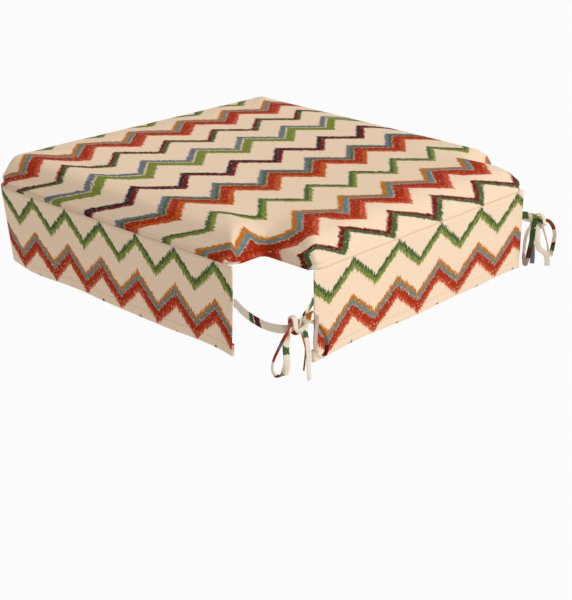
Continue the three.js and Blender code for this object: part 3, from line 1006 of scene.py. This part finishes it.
def stations(length, step, fold, both_ends):
    """(distance, layer) pairs: a folded edge, the plain middle, and a folded edge again if `both_ends`."""
    count = round(length / step)
    folded = [(fold, 1.0), (fold * 0.65, 1.0), (fold * 0.3, 1.0), *TURN]
    middle = [(length * i / count, 0.0) for i in range(1, count)]
    if not both_ends:
        return [*folded, *middle, (length, 0.0)]
    return [*folded, *middle, *((length - distance, layer) for distance, layer in reversed(folded))]


def hanging_strip(name, place, length, shape, materials, node):
    """A strip along place(distance) -> (point, outward), folded below and at both ends. shape() bends it."""
    columns = stations(length, 3.5 * MM, hem, True)
    rows = stations(skirt_top - hem_z, 3.5 * MM, hem, False)
    across, up = len(columns) - 1, len(rows) - 1
    bm = bmesh.new()
    bmesh.ops.create_grid(bm, x_segments=across, y_segments=up, size=1.0)
    flat = {}
    for vert in bm.verts:
        distance, end_layer = columns[round((vert.co.x + 1) / 2 * across)]
        height, hem_layer = rows[round((vert.co.y + 1) / 2 * up)]
        drop = skirt_top - hem_z - height
        spot, out = place(distance)
        outwards, lift = shape(distance, drop)
        outwards -= (end_layer * 1.02 + hem_layer) * LAYER
        lift += 0.3 * MM if drop < 0.1 * MM else 0.0
        vert.co = Vector((spot.x, spot.y, skirt_top - drop + lift)) + out * outwards
        flat[vert] = (distance, drop)
    bm.normal_update()
    middle = min(bm.verts, key=lambda v: abs(flat[v][0] - length / 2) + abs(flat[v][1]))
    facing = middle.normal, place(flat[middle][0])[1]
    set_uv(bm, lambda vert: flat[vert])
    if facing[0].dot(facing[1]) < 0:
        bmesh.ops.reverse_faces(bm, faces=bm.faces)
    piece = make_piece(name, bm, materials)
    thick = piece.modifiers.new("cloth_thickness", "SOLIDIFY")
    thick.thickness = SHEET
    thick.offset = -1
    thick.material_offset = 1
    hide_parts(node)
    return piece


# %% [markdown]
# ## Skirt
# One strip runs from the left notch round the front to the right notch. Its place along the seam is a
# straight run, an arc and a straight run, and the second half mirrors the first. Its pattern simply goes on
# along it.

# %% Skirt
STRAIGHT = notch_y - front_y - front_corner
BEND = math.pi / 2 * front_corner
FRONT = 2 * (side_x - front_corner)
SKIRT_LENGTH = 2 * STRAIGHT + 2 * BEND + FRONT
CORNER_TUCK = 5.5 * MM        # how far the hem draws in at the front corners
END_FLARE = 4.5 * MM          # how far the hem stands out at the notches


def skirt_place(distance):
    """Round the left side, the front and the right side, from the left notch."""
    if distance > SKIRT_LENGTH / 2:
        spot, out = skirt_place(SKIRT_LENGTH - distance)
        return Vector((-spot.x, spot.y, 0)), Vector((-out.x, out.y, 0))
    if distance < STRAIGHT:
        return Vector((side_x, notch_y - distance, 0)), Vector((1, 0, 0))
    if distance < STRAIGHT + BEND:
        turn = (distance - STRAIGHT) / front_corner
        out = Vector((math.cos(turn), -math.sin(turn), 0))
        return Vector((side_x - front_corner, front_y + front_corner, 0)) + out * front_corner, out
    return Vector((side_x - front_corner - (distance - STRAIGHT - BEND), front_y, 0)), Vector((0, -1, 0))


def waves(distance, drop, lengths, seed):
    """The slow in-and-out of hanging cloth, nothing at the seam and most at the hem."""
    share = (drop / (skirt_top - hem_z)) ** 1.3
    turns = [distance * 2 * math.pi / (length * MM) + seed * k for k, length in enumerate(lengths, 1)]
    swell = sum(math.sin(turn) for turn in turns)
    return share * swell / len(lengths)


def skirt_shape(distance, drop):
    share = drop / (skirt_top - hem_z)
    corner = min(abs(distance - STRAIGHT - BEND / 2), abs(SKIRT_LENGTH - distance - STRAIGHT - BEND / 2))
    tuck = CORNER_TUCK * math.exp(-(corner / (38 * MM)) ** 2)
    end = min(distance, SKIRT_LENGTH - distance)
    flare = END_FLARE * math.exp(-end / (28 * MM)) * share ** 1.5
    outwards = waves(distance, drop, (167, 103, 251), 1.7) * 2.2 * MM - share * (1.8 * MM + tuck) + flare
    lift = waves(distance, drop, (233, 141), 2.9) * 1.3 * MM + (0.9 * MM + tuck * 0.4) * share ** 3
    return outwards, max(lift, 0)


skirt_faces = [skirt_cloth, skirt_back]
skirt = hanging_strip("skirt", skirt_place, SKIRT_LENGTH, skirt_shape, skirt_faces, "skirt_strip")
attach(skirt, "pad")
print("skirt is", round(SKIRT_LENGTH, 4), "m long")


# %% [markdown]
# ## Rear flap
# A short strip hangs between the posts. It is a piece of its own because it can be lifted. The rear ties
# are sewn to it.

# %% Rear flap
def flap_place(distance):
    return Vector((-flap_half + distance, rear_y, 0)), Vector((0, 1, 0))


def flap_shape(distance, drop):
    share = drop / (skirt_top - hem_z)
    edge = min(distance, 2 * flap_half - distance)
    curl = 1.2 * MM * math.exp(-edge / (18 * MM)) * share
    outwards = waves(distance, drop, (181, 117), 2.3) * 1.2 * MM - share * 0.8 * MM + curl
    return min(outwards, 1.5 * MM), max(waves(distance, drop, (207,), 1.1) * 0.8 * MM, 0)


# Across the flap the columns run against the skirt's sense, so its grid is laid from the right post.
flap = hanging_strip("flap", flap_place, 2 * flap_half, flap_shape, [flap_cloth, flap_back], "rear_flap")
print("flap is", round(2 * flap_half, 4), "m wide")

# %% [markdown]
# ## Pattern of the flap
# The flap's zigzag is moved to continue the one on top, and the flap is fixed where it hangs.

# %% Flap: pattern position
# The flap's zigzag continues the one on top, so its place across the threads is x itself.
cloth_map = flap.data.uv_layers["cloth"].data
for entry in cloth_map:
    entry.uv[0] -= flap_half
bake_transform(flap)

# %% [markdown]
# ## Stitching
# The hems and the folded ends are held by stitches; the rows along the hems are drawn here, each stitch a
# short thread that dips into the cloth at both ends. A stitch could be a bump in the cloth's finish, but a
# short thread catches the light as a real one does, so the stitches are pieces of their own on the cloth's
# outer face.


# %% Stitches
STITCH_STAND = 0.12 * MM      # how proud of the cloth a stitch's middle stands
STITCH_PITCH = 2.2 * MM
HEM_END = 4 * MM              # where the row starts and ends, from the cloth's ends
def stitch_into(bm, start, end, out, radius):
    """One stitch: a thread that leaves the cloth, runs on its face and goes in again."""
    run = end - start
    matrix = Matrix.Identity(4)
    side = out.cross(run).normalized()
    matrix.col[0] = (*(run * 0.5), 0)
    matrix.col[1] = (*(side * radius), 0)
    matrix.col[2] = (*(out * radius * 1.2), 0)
    matrix.col[3] = (*(start + run * 0.5), 1)
    bmesh.ops.create_icosphere(bm, subdivisions=2, radius=1.0, matrix=matrix)


def stitch_row(name, spots):
    """Stitches between neighbouring (point, outward) spots, every other gap left out."""
    bm = bmesh.new()
    for (start, out), (end, _) in zip(spots[::2], spots[1::2]):
        stitch_into(bm, start, end, out, 0.28 * MM)
    return make_piece(name, bm, [thread])


def on_cloth(place, shape, distance, drop):
    """A spot just proud of a hanging strip's outer face, and the outward direction there."""
    spot, out = place(distance)
    outwards, lift = shape(distance, drop)
    return Vector((spot.x, spot.y, skirt_top - drop + lift)) + out * (outwards + STITCH_STAND), out


def on_skirt(distance, drop):
    return on_cloth(skirt_place, skirt_shape, distance, drop)


def on_flap(distance, drop):
    return on_cloth(flap_place, flap_shape, distance, drop)


def hem_line(spot_at, length, drop):
    count = int(length / STITCH_PITCH) // 2 * 2
    return [spot_at(HEM_END + (length - 2 * HEM_END) * i / (count - 1), drop) for i in range(count)]


STITCH_DROP = skirt_top - hem_z - hem + 1.5 * MM     # just inside the folded hem
skirt_stitches = stitch_row("skirt_hem_stitches", hem_line(on_skirt, SKIRT_LENGTH, STITCH_DROP))
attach(skirt_stitches, "pad")
flap_stitches = stitch_row("flap_hem_stitches", hem_line(on_flap, 2 * flap_half, STITCH_DROP))
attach(flap_stitches, "rear_flap")
for stitches in (skirt_stitches, flap_stitches):
    print(stitches.name, len(stitches.data.vertices))

# %% [markdown]
# ## Floor and light
# A pale floor below the pad fills the view. One broad, soft lamp from behind and above lights the rear flap
# and the top more than the left side, and the pale surroundings fill the shadows.

# %% Floor and light
bm = bmesh.new()
bmesh.ops.create_grid(bm, x_segments=1, y_segments=1, size=60)
bmesh.ops.translate(bm, verts=bm.verts, vec=(0, 0, -3))
floor_mesh = bpy.data.meshes.new("floor")
bm.to_mesh(floor_mesh)
bm.free()
floor = bpy.data.objects.new("floor", floor_mesh)
floor_finish = Finish("pale_floor", 0.9)
floor_finish.surface.inputs["Base Color"].default_value = (0.98, 0.98, 0.98, 1)
floor_finish.surface.inputs["Specular IOR Level"].default_value = 0.0
floor_mesh.materials.append(floor_finish.material)
bpy.context.collection.objects.link(floor)


def soft_sun(name, direction, strength, softness):
    data = bpy.data.lights.new(name, "SUN")
    data.energy = strength
    data.angle = math.radians(softness)
    lamp = bpy.data.objects.new(name, data)
    lamp.location = Vector(direction).normalized() * 3
    lamp.rotation_euler = Vector(direction).to_track_quat("Z", "Y").to_euler()
    bpy.context.collection.objects.link(lamp)
    return lamp


key_lamp = soft_sun("key_lamp", (-0.25, 0.72, 0.68), 2.3, 50)
world = bpy.data.worlds.new("pale_room")
world.use_nodes = True
world.node_tree.nodes["Background"].inputs["Color"].default_value = (1, 1, 1, 1)
world.node_tree.nodes["Background"].inputs["Strength"].default_value = 0.5
bpy.context.scene.world = world
bpy.context.scene.view_settings.view_transform = "Standard"
print("stage has", [o.name for o in (floor, key_lamp)])
